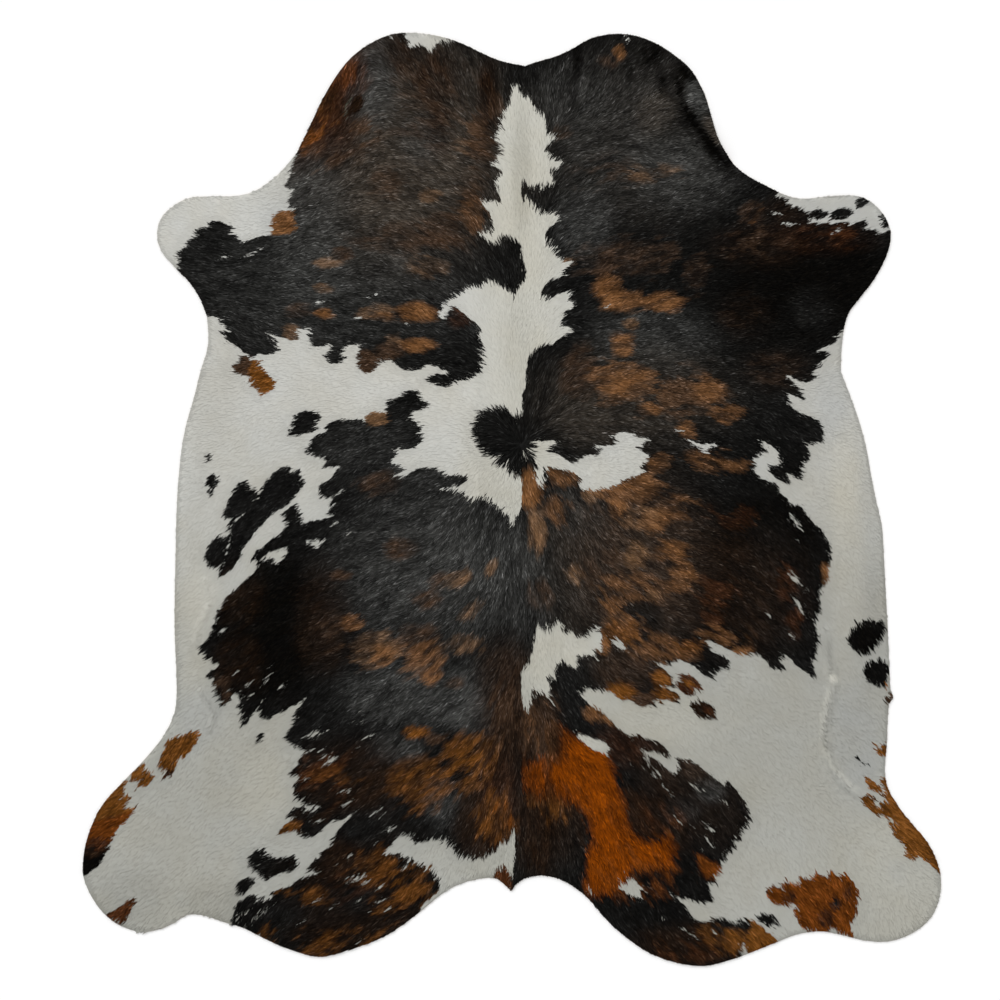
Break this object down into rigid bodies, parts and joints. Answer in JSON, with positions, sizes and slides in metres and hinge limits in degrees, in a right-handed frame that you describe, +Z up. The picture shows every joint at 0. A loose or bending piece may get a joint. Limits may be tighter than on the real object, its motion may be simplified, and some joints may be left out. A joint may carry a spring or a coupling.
{
  "type": "cowhide rug",
  "caption": "Whole cowhide laid flat as a rug: hair-on hide with neck, four leg lobes, tail notch and a few lasting creases, resting on its skin side.",
  "frame": {"origin": "centre of the hide's bounding box, on the floor that it lies on", "axes": "+Y towards the neck, +X to the right seen from above with the neck away, +Z up out of the coat"},
  "size_m": [1.9722, 2.1451, 0.0184],
  "materials": {
    "hide": "short glossy cow hair, black and rust-brown brindle patches on off-white, on suede-like tanned skin"
  },
  "bodies": {
    "root": {"hide": "hide"}
  },
  "joints": []
}
